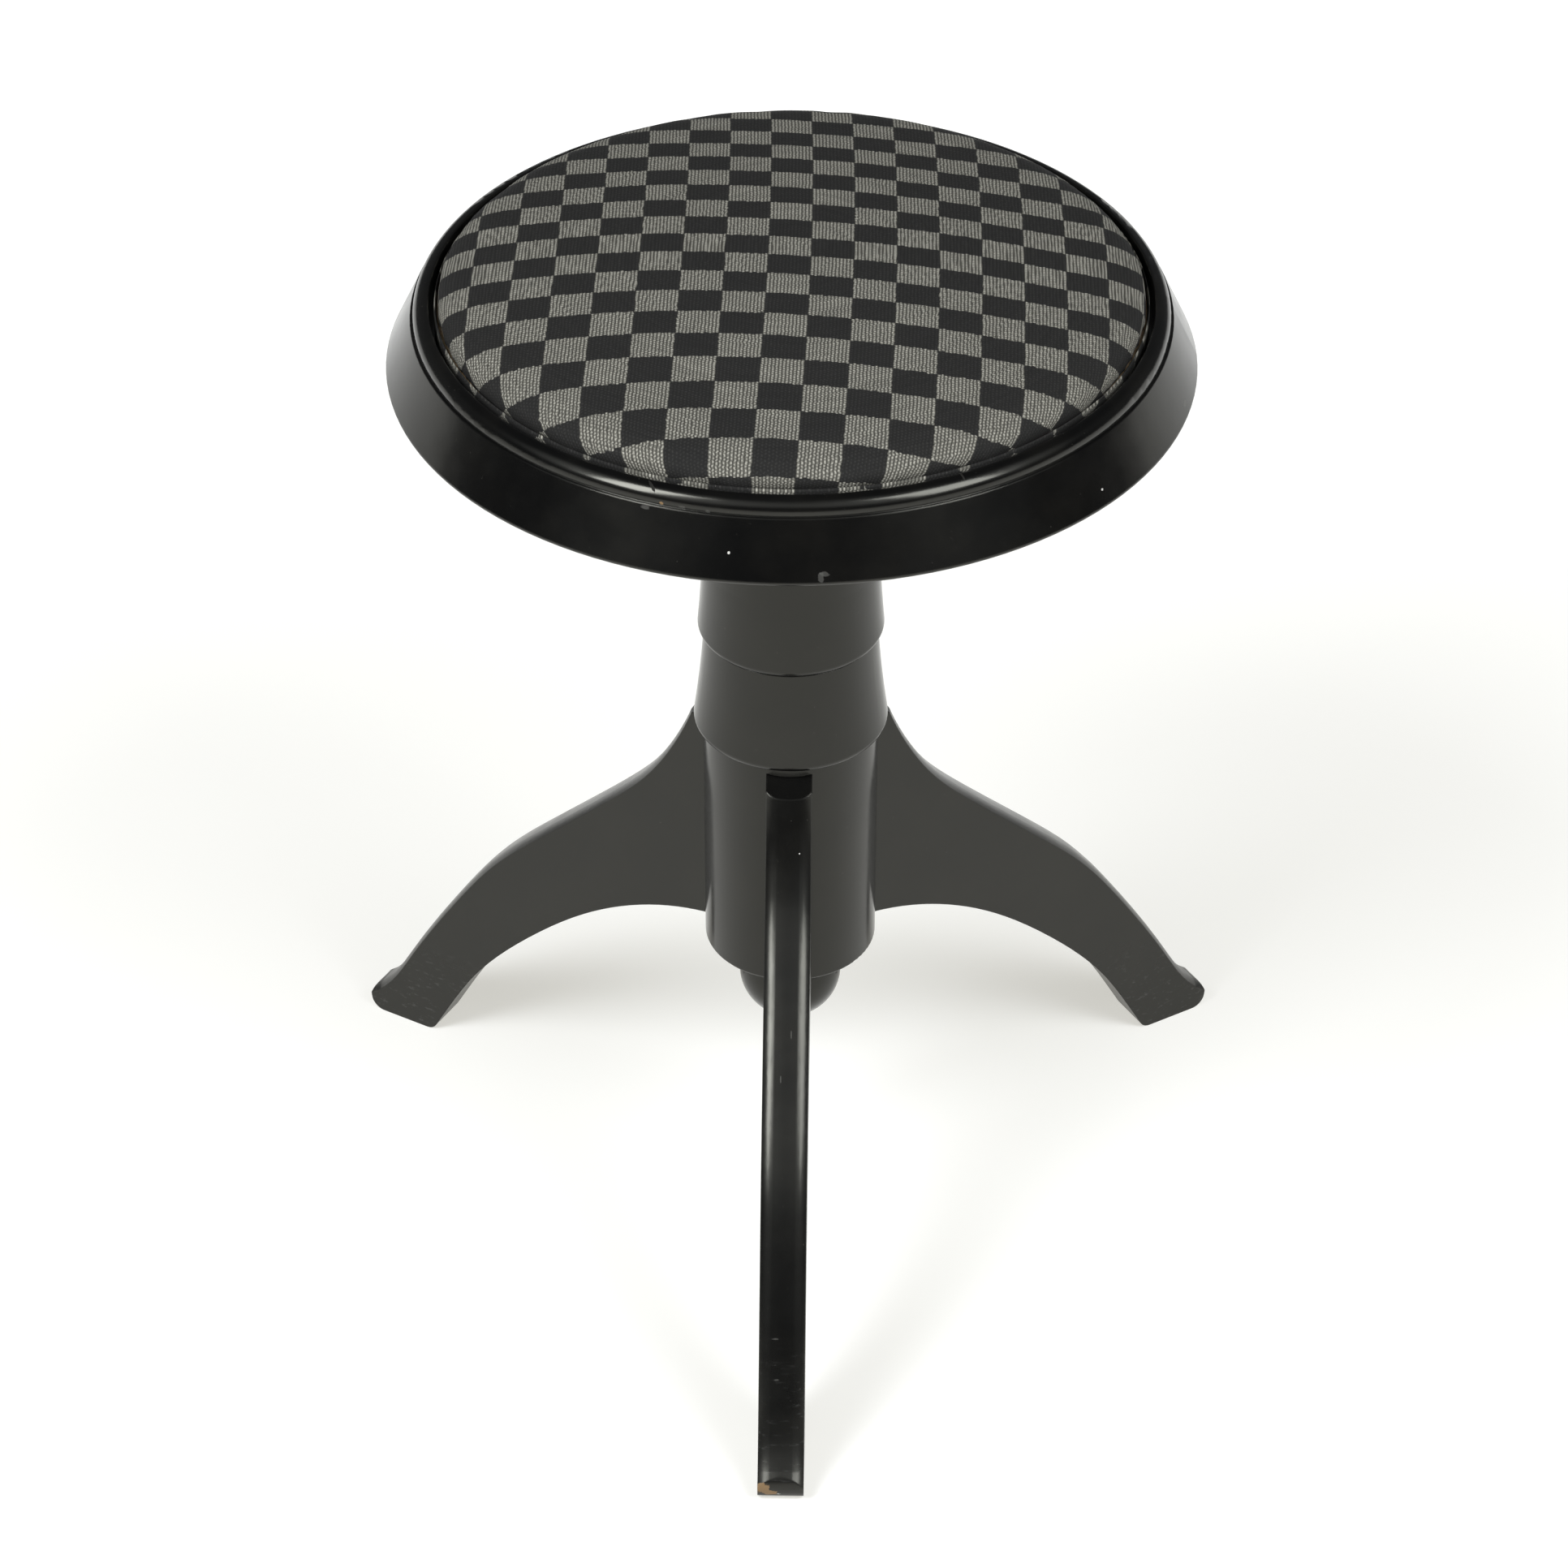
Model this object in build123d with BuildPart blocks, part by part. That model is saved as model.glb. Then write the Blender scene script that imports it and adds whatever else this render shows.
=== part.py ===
from build123d import *
import os
from math import cos, radians, sin, sqrt

# A piano stool whose round seat turns up and down on a screw, in millimetres.
# Z is up. The origin is the point on the floor under the column's axis.
# The front leg points along -Y, a degree off, and the seat is at its lowest place.

os.makedirs("parts", exist_ok=True)

# Play between pieces
play = 0.1  # round glued and driven pieces
soft_play = 0.3  # between soft pieces and hard ones
stop_play = 0.5  # under the cuff at rest, and over the stop washer at full height
overrun = 1.0  # how far a cutting shape passes the face it leaves by

# Column, one turned piece
column_bottom = 140.3
shaft_length = 123.7
shaft_radius = 40.0
shaft_edge_round = 1.2
lip_radius = 44.3
lip_round = 4.0
flare_length = 51.0
flare_hollow = 0.5
shoulder_radius = 39.4
shoulder_round = 0.6
neck_radius = 33.5
neck_length = 123.0
neck_chamfer = 2.0
bore_radius = 15.0

# Legs, sawn from plank, with a crowned outer edge
leg_angles = (-90.9, 30.5, 150.4)  # degrees around the column, bored by eye
leg_thickness = 20.8
leg_reach = 239.6  # to the toe's corner, before its rounding
leg_height = 254.0
leg_crest = 5.5  # rise of the top, from its outer corner to the column
leg_toe_round = 7.2
leg_heel_round = 6.5
leg_crown = 0.3  # rise of the outer edge's middle
leg_middle_share = 0.5  # of the thickness
leg_arris_drop = 2.9  # from there to just past each face
# The sawn outline, as shares of the reach and of the height
leg_corner_shares = (0.2087, 1.0000)
leg_upper_shares = [
    (0.2454, 0.9244),
    (0.3076, 0.8319),
    (0.4032, 0.7350),
    (0.5760, 0.5811),
    (0.6736, 0.4878),
    (0.7663, 0.3705),
    (0.8994, 0.1709),
    (0.9641, 0.0768),
    (0.9808, 0.0604),
]
leg_toe_shares = (1.0000, 0.0465)
leg_ball_shares = (0.9933, 0.0000)
leg_heel_shares = (0.8439, 0.0000)
leg_lower_shares = [
    (0.7817, 0.1047),
    (0.7325, 0.1791),
    (0.6553, 0.2693),
    (0.5881, 0.3339),
    (0.4153, 0.4661),
    (0.2738, 0.5307),
]

# Dowels between the legs and the column
dowel_radius = 5.0
dowel_length = 46.0
dowel_depth = 26.0  # in the column
dowel_heights = (24.0, 69.0)  # above the column's bottom
dowel_chamfer = 1.0

# Finial under the column
ball_radius = 24.0
ball_drop = 23.5  # from the column's bottom to the ball's centre
ball_neck_radius = 15.0
tenon_radius = 10.0
tenon_length = 22.0
tenon_chamfer = 1.0

# Threaded plate let into the top of the neck
nut_flange_radius = 26.0
nut_flange_thickness = 4.0
nut_boss_radius = 17.0
nut_boss_length = 22.0
nut_screw_ring_radius = 21.3
nut_screw_count = 3
nut_screw_length = 25.0

# Spindle, and the stop at its foot
spindle_radius = 11.0
spindle_play = 0.2
spindle_chamfer = 1.5
travel = 100.0
stop_radius = 14.0
stop_thickness = 3.0
stop_screw_radius = 3.0
stop_screw_length = 22.0
stop_head_radius = 6.0
stop_head_height = 4.0

# Felt washer on top of the neck
washer_radius = 24.0
washer_hole_radius = 12.5
washer_thickness = 3.0

# Cast flange that holds the spindle under the seat
flange_radius = 36.0
flange_thickness = 5.0
hub_radius = 18.0
hub_length = 15.4
hub_round = 3.0
hub_chamfer = 1.0
pin_radius = 2.5
flange_screw_ring_radius = 28.0
flange_screw_count = 4

# Wood screws
screw_radius = 2.0
screw_head_radius = 4.0
screw_head_height = 2.4
screw_point_length = 3.0
tip_cover = 1.4  # wood left over the points of screws and tacks in boards

# Cuff, the turned sleeve round the spindle
cuff_play = 1.0
cuff_lip_radius = 42.1
cuff_lip_round = 3.4
cuff_waist_radius = 40.0
cuff_taper_length = 34.0
cuff_taper_hollow = 0.3
cuff_top_radius = 47.0
cuff_cove_length = 30.0
cuff_socket_radius = 38.0
cuff_socket_length = 18.0
cuff_groove_depth = 4.0

# Drop-in pad
cover_radius = 153.3
cover_thickness = 1.2
cushion_crown = 20.5  # above the rim's top
dome_shares = (0.770, 0.690)  # of the cover's radius, and of the crown
edge_shares = (0.962, 0.150)
pad_board_thickness = 6.0
hem_width = 17.0
tack_count = 16
tack_edge = 5.2  # from the hem's inner edge to the tacks
tack_head_radius = 3.0
tack_head_thickness = 0.8
tack_radius = 0.8
pad_screw_ring_radius = 100.0
pad_screw_count = 4

# Moulded rim, a turned ring glued round the board
pad_gap = 2.2  # between the cover and the rim
rim_lip_width = 1.0
rim_lip_round = 0.8
bead_size = 6.0
quirk_width = 1.1
quirk_height = 0.9
apron_spread = 11.4  # how much wider the apron is at its foot than at its top
rim_bottom_round = 2.0
rim_drop = 5.0  # below the board
rim_rise = 11.5  # above the board

# Seat board
rim_ledge = 2.5  # how far the rim laps over the board
board_thickness = 16.0
tack_room_edge = 1.5  # round the tacks' heads
tack_room_depth = 1.5

# Radii and heights that follow from the sizes above
rim_opening_radius = cover_radius + pad_gap
bead_radius = rim_opening_radius + rim_lip_width + bead_size
apron_top_radius = bead_radius + quirk_width
rim_radius = apron_top_radius + apron_spread
board_radius = rim_opening_radius + rim_ledge
tack_ring_radius = cover_radius - hem_width + tack_edge
tack_room_radius = tack_ring_radius + tack_head_radius + tack_room_edge
lip_z = column_bottom + shaft_length
shoulder_z = lip_z + flare_length
neck_top = shoulder_z + neck_length
nut_z = neck_top - nut_flange_thickness
nut_bottom = nut_z - nut_boss_length
washer_z = neck_top + soft_play
hub_z = washer_z + washer_thickness + soft_play
flange_z = hub_z + hub_length
pin_z = hub_z + hub_length / 2
board_z = flange_z + flange_thickness
board_top = board_z + board_thickness
rim_z = board_z - rim_drop
rim_top = board_top + rim_rise
crown_z = rim_top + cushion_crown
cuff_z = shoulder_z + stop_play
cuff_top = board_z + cuff_groove_depth - play
spindle_z = nut_bottom - travel - stop_play
spindle_top = board_z - play
stop_z = spindle_z - stop_thickness
stop_head_z = stop_z - stop_head_height
bore_z = stop_head_z - screw_point_length
hem_z = board_top + play
pad_board_z = hem_z + cover_thickness + play
pad_board_top = pad_board_z + pad_board_thickness
tack_z = hem_z - tack_head_thickness
cover_inset = cover_thickness + play
pad_radius = cover_radius - cover_inset
cuff_bore_radius = neck_radius + cuff_play
dowel_inner = shaft_radius - dowel_depth
dowel_outer = dowel_inner + dowel_length
flange_screw_length = board_top - tack_room_depth - tip_cover - flange_z
pad_screw_length = pad_board_top - tip_cover - board_z
tack_length = pad_board_top - tip_cover - hem_z


def outward_plane(angle, height, distance):
    """Plane that faces away from the axis, at a height and a distance from it."""
    out = Vector(cos(radians(angle)), sin(radians(angle)), 0)
    return Plane(origin=out * distance + Vector(0, 0, height), z_dir=out)


def leg_place(shares):
    """A point of the leg's sawn outline, from its shares of the reach and the height."""
    return (shares[0] * leg_reach, shares[1] * leg_height)


def cushion_half(inset, bottom):
    """Half section of the crowned cushion, drawn in by the inset, down to the bottom.

    Its side comes upright where it meets the pad board's edge.
    """
    radius = cover_radius - inset
    crown = (0, crown_z - inset)
    dome_end = (
        dome_shares[0] * radius,
        rim_top + dome_shares[1] * cushion_crown - inset,
    )
    edge_end = (
        edge_shares[0] * radius,
        rim_top + edge_shares[1] * cushion_crown - inset,
    )
    with BuildSketch(Plane.XZ) as half:
        with BuildLine():
            dome = TangentArc(crown, dome_end, tangent=(1, 0))
            shoulder = TangentArc(dome_end, edge_end, tangent=dome % 1)
            side = TangentArc(edge_end, (radius, pad_board_top), tangent=shoulder % 1)
            Polyline(side @ 1, (radius, bottom), (0, bottom), crown)
        make_face()
    return half.sketch


def wood_screw(length):
    """Countersunk screw, its head's face at the origin and its point below."""
    with BuildPart() as screw:
        with BuildSketch(Plane.XZ):
            with BuildLine():
                Polyline(
                    (0, 0),
                    (screw_head_radius, 0),
                    (screw_radius, -screw_head_height),
                    (screw_radius, screw_point_length - length),
                    (0, -length),
                    close=True,
                )
            make_face()
        revolve(axis=Axis.Z)
    return screw.part


def screw_room(length):
    """The room that a wood screw takes up, with play all round it."""
    head_room = screw_head_radius + play
    with BuildPart() as room:
        with BuildSketch(Plane.XZ):
            with BuildLine():
                Polyline(
                    (0, overrun),
                    (head_room, overrun),
                    (head_room, -play),
                    (screw_radius + play, -play - screw_head_height),
                    (screw_radius + play, -play - length),
                    (0, -play - length),
                    close=True,
                )
            make_face()
        revolve(axis=Axis.Z)
    return room.part


nut_screw_room = screw_room(nut_screw_length)
flange_screw_room = screw_room(flange_screw_length)
pad_screw_room = screw_room(pad_screw_length)


# Column: shaft, lip that overhangs the legs' tops, shoulder, and neck inside the cuff
with BuildPart() as column:
    lip_start = (lip_radius - lip_round, lip_z)
    lip_end = (lip_radius, lip_z + lip_round)
    with BuildSketch(Plane.XZ):
        with BuildLine():
            Polyline((0, column_bottom), (shaft_radius, column_bottom), (shaft_radius, lip_z), lip_start)
            TangentArc(lip_start, lip_end, tangent=(1, 0))
            SagittaArc(lip_end, (shoulder_radius, shoulder_z), flare_hollow)
            Polyline(
                (shoulder_radius, shoulder_z),
                (neck_radius, shoulder_z),
                (neck_radius, neck_top),
                (0, neck_top),
                (0, column_bottom),
            )
        make_face()
    revolve(axis=Axis.Z)
    circles = column.edges().filter_by(GeomType.CIRCLE)
    fillet(circles.sort_by(Axis.Z)[0], shaft_edge_round)
    circles = column.edges().filter_by(GeomType.CIRCLE)
    chamfer(circles.sort_by(Axis.Z)[-1], neck_chamfer)
    # Room for the threaded plate, the spindle and its stop
    with BuildSketch(Plane.XY.offset(neck_top)):
        Circle(nut_flange_radius + play)
    extrude(amount=nut_z - neck_top, mode=Mode.SUBTRACT)
    with BuildSketch(Plane.XY.offset(neck_top)):
        Circle(nut_boss_radius + play)
    extrude(amount=nut_bottom - neck_top - play, mode=Mode.SUBTRACT)
    with BuildSketch(Plane.XY.offset(neck_top)):
        Circle(bore_radius)
    extrude(amount=bore_z - neck_top, mode=Mode.SUBTRACT)
    with Locations((0, 0, neck_top)):
        with PolarLocations(nut_screw_ring_radius, nut_screw_count):
            add(nut_screw_room, mode=Mode.SUBTRACT)
    # Socket for the finial's tenon
    with BuildSketch(Plane.XY.offset(column_bottom)):
        Circle(tenon_radius + play)
    extrude(amount=tenon_length + play, mode=Mode.SUBTRACT)
    # Dowel holes
    for angle in leg_angles:
        for height in dowel_heights:
            floor = outward_plane(angle, column_bottom + height, dowel_inner - play)
            with BuildSketch(floor):
                Circle(dowel_radius + play)
            extrude(amount=dowel_depth + overrun, mode=Mode.SUBTRACT)
column.part.label = "column"
export_step(column.part, "parts/column.step")


# Leg: sawn outline, flat top, crowned outer edge, coped to the shaft, along +X here
leg_corner = leg_place(leg_corner_shares)
leg_upper = [leg_place(shares) for shares in leg_upper_shares]
leg_toe = leg_place(leg_toe_shares)
leg_ball = leg_place(leg_ball_shares)
leg_heel = leg_place(leg_heel_shares)
leg_lower = [leg_place(shares) for shares in leg_lower_shares]
leg_root = shaft_radius - leg_thickness / 2
crest_slope = leg_crest / (leg_corner[0] - shaft_radius)
leg_root_top = (leg_root, leg_height + crest_slope * (leg_corner[0] - leg_root))
leg_root_bottom = (leg_root, column_bottom + shaft_edge_round)
crown_middle = leg_thickness * leg_middle_share / 2
crown_half = leg_thickness / 2 + overrun
crown_drop = leg_crown + leg_arris_drop

with BuildPart() as sawn_leg:
    with BuildSketch(Plane.XZ) as outline:
        with BuildLine():
            Line(leg_root_top, leg_corner)
            sweep_down = Spline(leg_corner, *leg_upper)
            Polyline(leg_upper[-1], leg_toe, leg_ball, leg_heel)
            Spline(leg_heel, *leg_lower, leg_root_bottom)
            Line(leg_root_bottom, leg_root_top)
        make_face()
        fillet(outline.vertices().sort_by(Axis.X)[-2:], leg_toe_round)
        fillet(outline.vertices().sort_by_distance(leg_heel)[0], leg_heel_round)
    extrude(amount=leg_thickness / 2, both=True)
    # The crown is cut along the outer edge, from above the corner to past the toe
    lead_in = sweep_down % 0
    lead_start = Vector(*leg_corner) - lead_in * leg_thickness
    toe_way = (Vector(*leg_toe) - Vector(*leg_upper[-1])).normalized()
    with BuildLine(mode=Mode.PRIVATE) as crown_lead:
        Line(lead_start, leg_corner)
    with BuildLine(mode=Mode.PRIVATE) as crown_tail:
        Line(leg_upper[-1], Vector(*leg_upper[-1]) + toe_way * leg_thickness)
    crown_line = Wire([*crown_lead.edges(), *sweep_down.edges(), *crown_tail.edges()])
    crown_path = Plane.XZ.from_local_coords(crown_line)
    across_edge = Plane(
        origin=(lead_start.X, 0, lead_start.Y),
        x_dir=(0, 1, 0),
        z_dir=(lead_in.X, 0, lead_in.Y),
    )
    with BuildSketch(across_edge):
        with BuildLine():
            middle = ThreePointArc((-crown_middle, -leg_crown), (0, 0), (crown_middle, -leg_crown))
            TangentArc(middle @ 1, (crown_half, -crown_drop), tangent=middle % 1)
            TangentArc(middle @ 0, (-crown_half, -crown_drop), tangent=-(middle % 0))
            Polyline(
                (crown_half, -crown_drop),
                (crown_half, overrun),
                (-crown_half, overrun),
                (-crown_half, -crown_drop),
            )
        make_face()
    sweep(path=crown_path, transition=Transition.TRANSFORMED, mode=Mode.SUBTRACT)
    with BuildSketch(Plane.XY):
        Circle(shaft_radius)
    extrude(amount=leg_root_top[1] + overrun, mode=Mode.SUBTRACT)
    for height in dowel_heights:
        with BuildSketch(outward_plane(0, column_bottom + height, leg_root)):
            Circle(dowel_radius + play)
        extrude(amount=dowel_outer + play - leg_root, mode=Mode.SUBTRACT)

for angle, leg_name in zip(leg_angles, ("leg_front", "leg_right", "leg_left")):
    with BuildPart() as leg:
        add(sawn_leg.part, rotation=(0, 0, angle))
    leg.part.label = leg_name
    export_step(leg.part, f"parts/{leg_name}.step")


# Dowels, two for each leg
with BuildPart() as leg_dowels:
    for angle in leg_angles:
        for height in dowel_heights:
            with BuildSketch(outward_plane(angle, column_bottom + height, dowel_inner)):
                Circle(dowel_radius)
            extrude(amount=dowel_length)
    chamfer(leg_dowels.edges().filter_by(GeomType.CIRCLE), dowel_chamfer)
leg_dowels.part.label = "leg_dowels"
export_step(leg_dowels.part, "parts/leg_dowels.step")


# Finial: ball, short neck and a tenon in the column
with BuildPart() as finial:
    ball_z = column_bottom - ball_drop
    ball_top = ball_z + sqrt(ball_radius**2 - ball_neck_radius**2)
    tenon_top = column_bottom + tenon_length
    with BuildSketch(Plane.XZ):
        with BuildLine():
            Polyline(
                (0, tenon_top),
                (tenon_radius - tenon_chamfer, tenon_top),
                (tenon_radius, tenon_top - tenon_chamfer),
                (tenon_radius, column_bottom),
                (ball_neck_radius, column_bottom),
                (ball_neck_radius, ball_top),
            )
            ThreePointArc((ball_neck_radius, ball_top), (ball_radius, ball_z), (0, ball_z - ball_radius))
            Line((0, ball_z - ball_radius), (0, tenon_top))
        make_face()
    revolve(axis=Axis.Z)
finial.part.label = "finial"
export_step(finial.part, "parts/finial.step")


# Threaded plate: a flange let into the neck and a boss that takes the spindle
with BuildPart() as nut_plate:
    with BuildSketch(Plane.XY.offset(nut_z)):
        Circle(nut_flange_radius)
    extrude(amount=nut_flange_thickness)
    with BuildSketch(Plane.XY.offset(nut_bottom)):
        Circle(nut_boss_radius)
    extrude(amount=nut_boss_length)
    with BuildSketch(Plane.XY.offset(nut_bottom)):
        Circle(spindle_radius + spindle_play)
    extrude(amount=neck_top - nut_bottom, mode=Mode.SUBTRACT)
    with Locations((0, 0, neck_top)):
        with PolarLocations(nut_screw_ring_radius, nut_screw_count):
            add(nut_screw_room, mode=Mode.SUBTRACT)
nut_plate.part.label = "nut_plate"
export_step(nut_plate.part, "parts/nut_plate.step")

nut_screw = wood_screw(nut_screw_length)
with BuildPart() as nut_screws:
    with Locations((0, 0, neck_top)):
        with PolarLocations(nut_screw_ring_radius, nut_screw_count):
            add(nut_screw)
nut_screws.part.label = "nut_screws"
export_step(nut_screws.part, "parts/nut_screws.step")


# Felt washer between the neck and the flange's hub
with BuildPart() as felt_washer:
    with BuildSketch(Plane.XY.offset(washer_z)):
        Circle(washer_radius)
        Circle(washer_hole_radius, mode=Mode.SUBTRACT)
    extrude(amount=washer_thickness)
felt_washer.part.label = "felt_washer"
export_step(felt_washer.part, "parts/felt_washer.step")


# Spindle, with a cross hole for its pin and a hole in its foot for the stop's screw
with BuildPart() as spindle:
    with BuildSketch(Plane.XY.offset(spindle_z)):
        Circle(spindle_radius)
    extrude(amount=spindle_top - spindle_z)
    chamfer(spindle.edges().filter_by(GeomType.CIRCLE), spindle_chamfer)
    with BuildSketch(Plane.YZ.offset(-spindle_radius - overrun)):
        with Locations((0, pin_z)):
            Circle(pin_radius + play)
    extrude(amount=2 * (spindle_radius + overrun), mode=Mode.SUBTRACT)
    with BuildSketch(Plane.XY.offset(spindle_z)):
        Circle(stop_screw_radius + play)
    extrude(amount=stop_screw_length - stop_thickness + play, mode=Mode.SUBTRACT)
spindle.part.label = "spindle"
export_step(spindle.part, "parts/spindle.step")


# Stop washer and its screw, which keep the spindle from winding out of the plate
with BuildPart() as stop_washer:
    with BuildSketch(Plane.XY.offset(stop_z)):
        Circle(stop_radius)
        Circle(stop_screw_radius + play, mode=Mode.SUBTRACT)
    extrude(amount=stop_thickness)
stop_washer.part.label = "stop_washer"
export_step(stop_washer.part, "parts/stop_washer.step")

with BuildPart() as stop_screw:
    with BuildSketch(Plane.XY.offset(stop_head_z)):
        RegularPolygon(stop_head_radius, 6)
    extrude(amount=stop_head_height)
    with BuildSketch(Plane.XY.offset(stop_z)):
        Circle(stop_screw_radius)
    extrude(amount=stop_screw_length)
stop_screw.part.label = "stop_screw"
export_step(stop_screw.part, "parts/stop_screw.step")


# Cast flange under the seat, its hub pinned to the spindle
with BuildPart() as spindle_flange:
    with BuildSketch(Plane.XZ) as flange_half:
        with BuildLine():
            Polyline(
                (spindle_radius + play, hub_z),
                (hub_radius - hub_chamfer, hub_z),
                (hub_radius, hub_z + hub_chamfer),
                (hub_radius, flange_z),
                (flange_radius, flange_z),
                (flange_radius, board_z),
                (spindle_radius + play, board_z),
                close=True,
            )
        make_face()
        fillet(flange_half.vertices().sort_by_distance((hub_radius, flange_z))[0], hub_round)
    revolve(axis=Axis.Z)
    with BuildSketch(Plane.YZ.offset(-hub_radius - overrun)):
        with Locations((0, pin_z)):
            Circle(pin_radius + play)
    extrude(amount=2 * (hub_radius + overrun), mode=Mode.SUBTRACT)
    with Locations((0, 0, flange_z)):
        with PolarLocations(flange_screw_ring_radius, flange_screw_count):
            add(flange_screw_room, rotation=(180, 0, 0), mode=Mode.SUBTRACT)
spindle_flange.part.label = "spindle_flange"
export_step(spindle_flange.part, "parts/spindle_flange.step")

with BuildPart() as flange_pin:
    with BuildSketch(Plane.YZ.offset(-hub_radius)):
        with Locations((0, pin_z)):
            Circle(pin_radius)
    extrude(amount=2 * hub_radius)
flange_pin.part.label = "flange_pin"
export_step(flange_pin.part, "parts/flange_pin.step")

flange_screw = wood_screw(flange_screw_length)
with BuildPart() as flange_screws:
    with Locations((0, 0, flange_z)):
        with PolarLocations(flange_screw_ring_radius, flange_screw_count):
            add(flange_screw, rotation=(180, 0, 0))
flange_screws.part.label = "flange_screws"
export_step(flange_screws.part, "parts/flange_screws.step")


# Cuff: turned sleeve that hangs from the seat board and slides over the neck
with BuildPart() as cuff:
    taper_end = (cuff_waist_radius, cuff_z + cuff_lip_round + cuff_taper_length)
    cove_start = (cuff_waist_radius, board_z - cuff_cove_length)
    cove_end = (cuff_top_radius, board_z)
    lip_edge = (cuff_lip_radius - cuff_lip_round, cuff_z)
    lip_side = (cuff_lip_radius, cuff_z + cuff_lip_round)
    socket_z = cuff_top - cuff_socket_length
    with BuildSketch(Plane.XZ):
        with BuildLine():
            Line((cuff_bore_radius, cuff_z), lip_edge)
            TangentArc(lip_edge, lip_side, tangent=(1, 0))
            SagittaArc(lip_side, taper_end, cuff_taper_hollow)
            Line(taper_end, cove_start)
            TangentArc(cove_start, cove_end, tangent=(0, 1))
            Polyline(
                cove_end,
                (cuff_top_radius, cuff_top),
                (cuff_socket_radius, cuff_top),
                (cuff_socket_radius, socket_z),
                (cuff_bore_radius, socket_z),
                (cuff_bore_radius, cuff_z),
            )
        make_face()
    revolve(axis=Axis.Z)
cuff.part.label = "cuff"
export_step(cuff.part, "parts/cuff.step")


# Seat board, grooved for the cuff underneath and hollowed for the tack heads on top
with BuildPart() as seat_board:
    with BuildSketch(Plane.XY.offset(board_z)):
        Circle(board_radius)
    extrude(amount=board_thickness)
    with BuildSketch(Plane.XY.offset(board_z)):
        Circle(cuff_top_radius + play)
        Circle(cuff_socket_radius - play, mode=Mode.SUBTRACT)
    extrude(amount=cuff_groove_depth, mode=Mode.SUBTRACT)
    with BuildSketch(Plane.XY.offset(board_top)):
        Circle(tack_room_radius)
    extrude(amount=-tack_room_depth, mode=Mode.SUBTRACT)
    with Locations((0, 0, flange_z)):
        with PolarLocations(flange_screw_ring_radius, flange_screw_count):
            add(flange_screw_room, rotation=(180, 0, 0), mode=Mode.SUBTRACT)
    with Locations((0, 0, board_z)):
        with PolarLocations(pad_screw_ring_radius, pad_screw_count):
            add(pad_screw_room, rotation=(180, 0, 0), mode=Mode.SUBTRACT)
seat_board.part.label = "seat_board"
export_step(seat_board.part, "parts/seat_board.step")


# Rim: sloping apron, quirk, quarter-round bead and a flat lip round the pad
with BuildPart() as rim_ring:
    ring_bore = board_radius + play
    rim_foot = (rim_radius - rim_bottom_round, rim_z)
    rim_side = (rim_radius, rim_z + rim_bottom_round)
    quirk_z = rim_top - bead_size - quirk_height
    bead_foot = (bead_radius, rim_top - bead_size)
    bead_head = (bead_radius - bead_size, rim_top)
    with BuildSketch(Plane.XZ) as rim_half:
        with BuildLine():
            Line((ring_bore, rim_z), rim_foot)
            TangentArc(rim_foot, rim_side, tangent=(1, 0))
            Polyline(
                rim_side,
                (apron_top_radius, quirk_z),
                (bead_radius, quirk_z),
                bead_foot,
            )
            TangentArc(bead_foot, bead_head, tangent=(0, 1))
            Polyline(
                bead_head,
                (rim_opening_radius, rim_top),
                (rim_opening_radius, board_top),
                (ring_bore, board_top),
                (ring_bore, rim_z),
            )
        make_face()
        fillet(rim_half.vertices().sort_by_distance((rim_opening_radius, rim_top))[0], rim_lip_round)
    revolve(axis=Axis.Z)
rim_ring.part.label = "rim_ring"
export_step(rim_ring.part, "parts/rim_ring.step")


# Pad: board, filling, and a cover drawn over them and tacked underneath
with BuildPart() as pad_board:
    with BuildSketch(Plane.XY.offset(pad_board_z)):
        Circle(pad_radius)
    extrude(amount=pad_board_thickness)
    with BuildSketch(Plane.XY.offset(pad_board_z)):
        with PolarLocations(tack_ring_radius, tack_count):
            Circle(tack_radius + play)
    extrude(amount=tack_length + hem_z - pad_board_z + play, mode=Mode.SUBTRACT)
    with Locations((0, 0, board_z)):
        with PolarLocations(pad_screw_ring_radius, pad_screw_count):
            add(pad_screw_room, rotation=(180, 0, 0), mode=Mode.SUBTRACT)
pad_board.part.label = "pad_board"
export_step(pad_board.part, "parts/pad_board.step")

with BuildPart() as pad_filling:
    add(cushion_half(cover_inset, pad_board_z))
    revolve(axis=Axis.Z)
    with BuildSketch(Plane.XY.offset(pad_board_z)):
        Circle(cover_radius)
    extrude(amount=pad_board_thickness, mode=Mode.SUBTRACT)
pad_filling.part.label = "pad_filling"
export_step(pad_filling.part, "parts/pad_filling.step")

with BuildPart() as seat_cover:
    add(cushion_half(0, hem_z))
    revolve(axis=Axis.Z)
    add(cushion_half(cover_thickness, hem_z + cover_thickness))
    revolve(axis=Axis.Z, mode=Mode.SUBTRACT)
    with BuildSketch(Plane.XY.offset(hem_z)):
        Circle(cover_radius - hem_width)
        with PolarLocations(tack_ring_radius, tack_count):
            Circle(tack_radius + play)
    extrude(amount=cover_thickness, mode=Mode.SUBTRACT)
seat_cover.part.label = "seat_cover"
export_step(seat_cover.part, "parts/seat_cover.step")

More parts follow.
